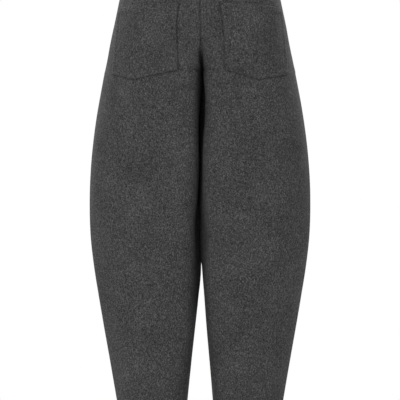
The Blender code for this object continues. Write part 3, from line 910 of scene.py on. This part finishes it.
def make_button_thread(thread):
    """Threads the button's four holes, in two bars."""
    seat, along, up, out = band_frame()
    solid = bmesh.new()
    for side in (-BUTTON_HOLE_PLACE, BUTTON_HOLE_PLACE):
        for lane in THREAD_LANES:
            points = []
            for t in np.linspace(-1.0, 1.0, THREAD_STEPS):
                height = BUTTON_THICK - THREAD_LOW + THREAD_RISE * (1.0 - t * t)
                if abs(t) == 1.0:
                    height -= THREAD_DIP
                place = along * (side + lane) + up * (BUTTON_HOLE_PLACE * t) + out * height
                points.append(seat + place * MM)
            tube(solid, points, THREAD_RADIUS * MM)
    made = smooth_object("button_thread", solid, thread)
    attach(made, "root")


def make_buttonhole(thread):
    """Works the buttonhole round the button's place."""
    solid = bmesh.new()
    path = []
    for step in range(BUTTONHOLE_STEPS):
        angle = 2 * math.pi * step / BUTTONHOLE_STEPS
        straight = math.copysign(BUTTONHOLE_HALF - BUTTONHOLE_SHORTER, math.cos(angle))
        place = BUTTON_PLACE + straight + BUTTONHOLE_ROUND * math.cos(angle)
        path.append(band_point(BUTTONHOLE_ROUND * math.sin(angle), place, BUTTONHOLE_OUT))
    tube(solid, path, BUTTONHOLE_RADIUS * MM, closed=True)
    worked = smooth_object("buttonhole", solid, thread)
    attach(worked, "root")


def new_material(name):
    """Starts a node material, and gives its nodes, links and shader."""
    made = bpy.data.materials.new(name)
    made.use_nodes = True
    tree = made.node_tree
    return made, tree.nodes, tree.links, tree.nodes["Principled BSDF"]


def noise(nodes, links, vector, scale, detail, stretch=(1.0, 1.0, 1.0), roughness=0.5):
    """Adds a noise texture over stretched coordinates, and gives its value socket."""
    mapping = nodes.new("ShaderNodeMapping")
    mapping.inputs["Scale"].default_value = stretch
    links.new(vector, mapping.inputs["Vector"])
    texture = nodes.new("ShaderNodeTexNoise")
    texture.inputs["Scale"].default_value = scale
    texture.inputs["Detail"].default_value = detail
    texture.inputs["Roughness"].default_value = roughness
    links.new(mapping.outputs["Vector"], texture.inputs["Vector"])
    return texture.outputs["Fac"]


def maths(nodes, links, operation, first, second):
    """Adds a maths node over sockets or numbers."""
    node = nodes.new("ShaderNodeMath")
    node.operation = operation
    for socket, value in zip(node.inputs, (first, second)):
        if isinstance(value, (int, float)):
            socket.default_value = value
        else:
            links.new(value, socket)
    return node.outputs["Value"]


def colour_ramp(nodes, links, value, stops):
    """Adds a ramp from a value to the colours at its stops, and gives its colour socket."""
    ramp = nodes.new("ShaderNodeValToRGB")
    elements = ramp.color_ramp.elements
    while len(elements) < len(stops):
        elements.new(0.5)
    for element, (position, colour) in zip(elements, stops):
        element.position = position
        element.color = (*colour, 1.0)
    links.new(value, ramp.inputs["Fac"])
    return ramp.outputs["Color"]


def object_place(nodes):
    """Gives the socket with the places on an object."""
    return nodes.new("ShaderNodeTexCoord").outputs["Object"]


def wool(name, tone):
    """Makes the brushed wool mix: light and dark fibres, upright streaks, twill and a soft nap."""
    made, nodes, links, shader = new_material(name)
    coordinates = nodes.new("ShaderNodeTexCoord")
    place = coordinates.outputs["Object"]
    cloth = coordinates.outputs["UV"]

    speckle = noise(nodes, links, place, 470.0, 2.0, stretch=(1.0, 1.0, 0.8), roughness=0.6)
    streaks = noise(nodes, links, place, 400.0, 1.0, stretch=(1.0, 1.0, 0.4))
    fibres = noise(nodes, links, place, 1000.0, 2.0, stretch=(1.0, 1.0, 0.4), roughness=0.7)
    clouds = noise(nodes, links, place, 16.0, 3.0)

    clouded = maths(nodes, links, "SUBTRACT", clouds, 0.5)
    mix = maths(nodes, links, "MULTIPLY", speckle, WOOL_SHARES["speckle"])
    for value, layer in ((streaks, "streaks"), (fibres, "fibres"), (clouded, "clouds")):
        part = maths(nodes, links, "MULTIPLY", value, WOOL_SHARES[layer])
        mix = maths(nodes, links, "ADD", mix, part)
    stops = []
    for position, share in WOOL_STOPS:
        grey = tone * share
        stops.append((position, (grey, grey, grey * WOOL_BLUE)))
    links.new(colour_ramp(nodes, links, mix, stops), shader.inputs["Base Color"])

    twill = nodes.new("ShaderNodeTexWave")
    twill.wave_type = "BANDS"
    twill.bands_direction = "DIAGONAL"
    twill.inputs["Scale"].default_value = 170.0
    twill.inputs["Distortion"].default_value = 2.5
    twill.inputs["Detail"].default_value = 2.0
    twill.inputs["Detail Scale"].default_value = 3.0
    links.new(cloth, twill.inputs["Vector"])
    nap = noise(nodes, links, place, 1400.0, 3.0, stretch=(1.0, 1.0, 0.35), roughness=0.7)
    surface = maths(nodes, links, "MULTIPLY", twill.outputs["Fac"], 0.35)
    surface = maths(nodes, links, "ADD", surface, nap)
    surface = maths(nodes, links, "ADD", surface, maths(nodes, links, "MULTIPLY", speckle, 0.9))
    bump = nodes.new("ShaderNodeBump")
    bump.inputs["Strength"].default_value = 0.35
    bump.inputs["Distance"].default_value = 0.0005
    links.new(surface, bump.inputs["Height"])
    links.new(bump.outputs["Normal"], shader.inputs["Normal"])

    rough = maths(nodes, links, "MULTIPLY", fibres, 0.16)
    rough = maths(nodes, links, "ADD", rough, 0.84)
    links.new(rough, shader.inputs["Roughness"])
    shader.inputs["Specular IOR Level"].default_value = 0.08
    shader.inputs["Sheen Weight"].default_value = 0.015
    shader.inputs["Sheen Roughness"].default_value = 0.45
    shader.inputs["Sheen Tint"].default_value = (0.75, 0.75, 0.77, 1.0)
    return made


def thread_material():
    """Makes the tonal sewing thread, with a fine twist."""
    made, nodes, links, shader = new_material("sewing_thread")
    twist = noise(nodes, links, object_place(nodes), 2200.0, 2.0)
    stops = ((0.35, (0.022, 0.022, 0.023)), (0.65, (0.055, 0.055, 0.057)))
    links.new(colour_ramp(nodes, links, twist, stops), shader.inputs["Base Color"])
    shader.inputs["Roughness"].default_value = 0.55
    return made


def horn_material():
    """Makes the button's dark marbled horn."""
    made, nodes, links, shader = new_material("dark_horn")
    marble = noise(nodes, links, object_place(nodes), 190.0, 5.0, stretch=(1.0, 1.0, 0.4))
    stops = ((0.38, (0.008, 0.008, 0.009)), (0.66, (0.060, 0.055, 0.050)))
    links.new(colour_ramp(nodes, links, marble, stops), shader.inputs["Base Color"])
    wear = maths(nodes, links, "ADD", maths(nodes, links, "MULTIPLY", marble, 0.2), 0.22)
    links.new(wear, shader.inputs["Roughness"])
    return made


def make_floor():
    """Lays a plain pale round of floor under the trousers."""
    made, nodes, links, shader = new_material("pale_floor")
    mottle = noise(nodes, links, object_place(nodes), 6.0, 3.0)
    stops = ((0.0, (0.68, 0.68, 0.68)), (1.0, (0.73, 0.73, 0.73)))
    links.new(colour_ramp(nodes, links, mottle, stops), shader.inputs["Base Color"])
    shader.inputs["Roughness"].default_value = 0.85
    mesh = bpy.data.meshes.new("floor")
    solid = bmesh.new()
    bmesh.ops.create_circle(solid, cap_ends=True, segments=128, radius=FLOOR_RADIUS)
    solid.to_mesh(mesh)
    solid.free()
    mesh.materials.append(made)
    floor = bpy.data.objects.new("floor", mesh)
    floor.location = (0.0, 0.0, -FLOOR_DROP * MM)
    bpy.context.collection.objects.link(floor)


def area_light(name, place, target, size, power):
    """Adds a soft square lamp that faces a point."""
    data = bpy.data.lights.new(name, "AREA")
    data.shape = "SQUARE"
    data.size = size
    data.energy = power
    lamp = bpy.data.objects.new(name, data)
    lamp.location = place
    lamp.rotation_euler = (Vector(target) - Vector(place)).to_track_quat("-Z", "Y").to_euler()
    bpy.context.collection.objects.link(lamp)


def make_light():
    """Lights the studio: white all round, a soft lamp behind and two rim lamps in front."""
    world = bpy.data.worlds.new("studio")
    world.use_nodes = True
    back = world.node_tree.nodes["Background"]
    back.inputs["Color"].default_value = (1.0, 1.0, 1.0, 1.0)
    back.inputs["Strength"].default_value = 1.0
    bpy.context.scene.world = world
    for name, (place, target, size, power) in LAMPS.items():
        area_light(name, place, target, size, power)
    bpy.context.scene.view_settings.view_transform = "Standard"
    bpy.context.scene.view_settings.look = "None"


def make_camera():
    """Sets the camera straight behind the trousers, framed as in the photo."""
    data = bpy.data.cameras.new("camera")
    data.sensor_width = SENSOR
    data.lens = SENSOR * CAMERA_DISTANCE / VIEW_WIDTH
    camera = bpy.data.objects.new("camera", data)
    camera.location = (0.0, CAMERA_DISTANCE, -CAMERA_DROP * MM)
    camera.rotation_euler = (math.pi / 2, 0.0, math.pi)
    bpy.context.collection.objects.link(camera)
    bpy.context.scene.camera = camera


make_camera()
make_light()
make_floor()

panel_wool = wool("wool_mix", PANEL_TONE)
band_wool = wool("wool_mix_band", BAND_TONE)
pocket_wool = wool("wool_mix_pocket", POCKET_TONE)
thread = thread_material()

make_waistband(band_wool)
panels = {}
for face in ("front", "back"):
    for side_name in ("left", "right"):
        panels[face + "_" + side_name] = make_panel(face, side_name, panel_wool)
make_turnings(panels)
for values in POCKETS:
    pocket_row = dict(zip(POCKET_COLUMNS, values))
    make_pocket(pocket_row, pocket_wool)
    pocket_stitches(pocket_row, thread)
make_fly_shield(panel_wool)
fly_stitches(thread)
make_button_thread(thread)
make_buttonhole(thread)
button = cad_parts["waist_button"]
button.data.materials.clear()
button.data.materials.append(horn_material())
